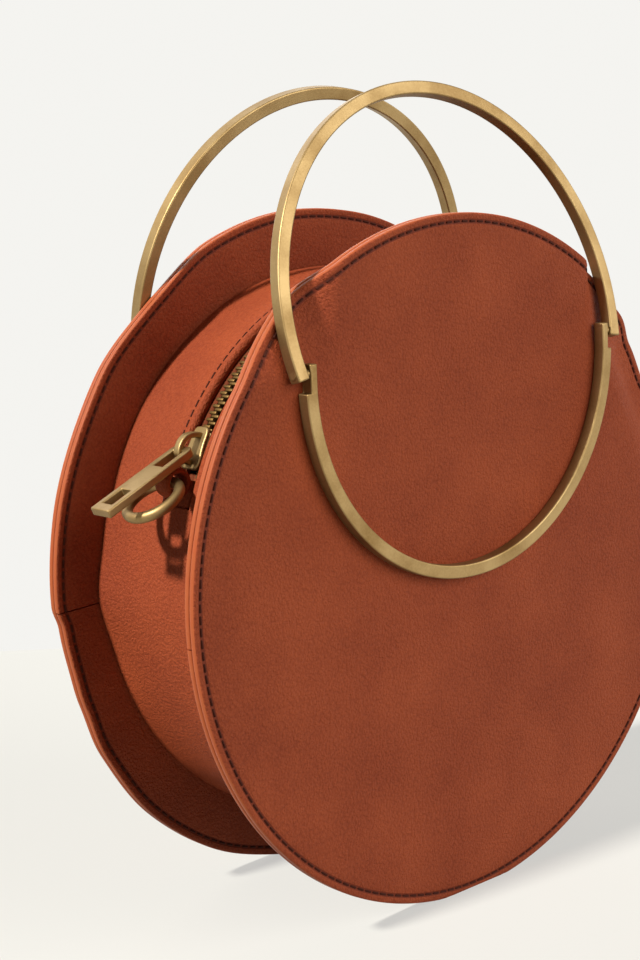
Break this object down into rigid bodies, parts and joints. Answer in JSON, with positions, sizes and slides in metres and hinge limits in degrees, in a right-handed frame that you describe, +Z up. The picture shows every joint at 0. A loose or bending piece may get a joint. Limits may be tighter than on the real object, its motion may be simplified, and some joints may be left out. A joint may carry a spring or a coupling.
{
  "type": "circle bag",
  "caption": "Round stiff leather bag on a narrower drum with a zipped top, strap rings at its ends and hinged brass ring handles that lean in over the opening.",
  "frame": {"origin": "on the floor under the middle of the drum, halfway between the two panels", "axes": "+X right seen from the front panel, +Y to the rear panel along the drum's axis, +Z up to the handles"},
  "size_m": [0.2167, 0.0766, 0.2487],
  "materials": {
    "leather": "satin",
    "board": "matte",
    "lining": "matte",
    "zip_tape": "matte",
    "antique_brass": "brushed",
    "screw_steel": "brushed"
  },
  "bodies": {
    "shell": {"front_face_leather": "leather", "rear_face_leather": "leather", "front_rim_facing": "leather", "rear_rim_facing": "leather", "gusset_band": "leather", "zip_strip_front": "leather", "zip_strip_rear": "leather", "strap_tab_left": "leather", "strap_tab_right": "leather", "front_stiffener_board": "board", "rear_stiffener_board": "board", "front_panel_lining": "lining", "rear_panel_lining": "lining", "band_lining": "lining", "zip_tape_front": "zip_tape", "zip_tape_rear": "zip_tape", "front_fixed_half_ring": "antique_brass", "rear_fixed_half_ring": "antique_brass", "front_hinge_pins": "antique_brass", "rear_hinge_pins": "antique_brass", "zip_teeth_front": "antique_brass", "zip_teeth_rear": "antique_brass", "zip_closing_stops": "antique_brass", "zip_end_clip": "antique_brass", "front_ring_screws": "screw_steel", "rear_ring_screws": "screw_steel"},
    "front_handle": {"front_handle_arch": "antique_brass"},
    "rear_handle": {"rear_handle_arch": "antique_brass"},
    "slider": {"zip_slider": "antique_brass"},
    "pull": {"zip_pull": "antique_brass"},
    "left_ring": {"strap_ring_left": "antique_brass"},
    "right_ring": {"strap_ring_right": "antique_brass"}
  },
  "joints": [
    {"name": "front_handle_swing", "type": "hinge", "parent": "shell", "child": "front_handle", "pos_m": [0, -0.0363, 0.1683], "axis": [1, 0, 0], "range_deg": [0, 193]},
    {"name": "rear_handle_swing", "type": "hinge", "parent": "shell", "child": "rear_handle", "pos_m": [0, 0.0363, 0.1683], "axis": [-1, 0, 0], "range_deg": [0, 189]},
    {"name": "zip_slide", "type": "hinge", "parent": "shell", "child": "slider", "pos_m": [0, -0.0035, 0.1038], "axis": [0, 1, 0], "range_deg": [0, 122], "deforming": ["zip_teeth_front", "zip_teeth_rear"]},
    {"name": "pull_swing", "type": "hinge", "parent": "slider", "child": "pull", "pos_m": [-0.08221, -0.0035, 0.14639], "axis": [0, 1, 0], "range_deg": [0, 105]},
    {"name": "left_ring_swing", "type": "hinge", "parent": "shell", "child": "left_ring", "pos_m": [-0.08641, -0.0035, 0.13819], "axis": [0, -1, 0], "range_deg": [-12, 46]},
    {"name": "right_ring_swing", "type": "hinge", "parent": "shell", "child": "right_ring", "pos_m": [0.08641, -0.0035, 0.13819], "axis": [0, 1, 0], "range_deg": [-12, 46]}
  ]
}
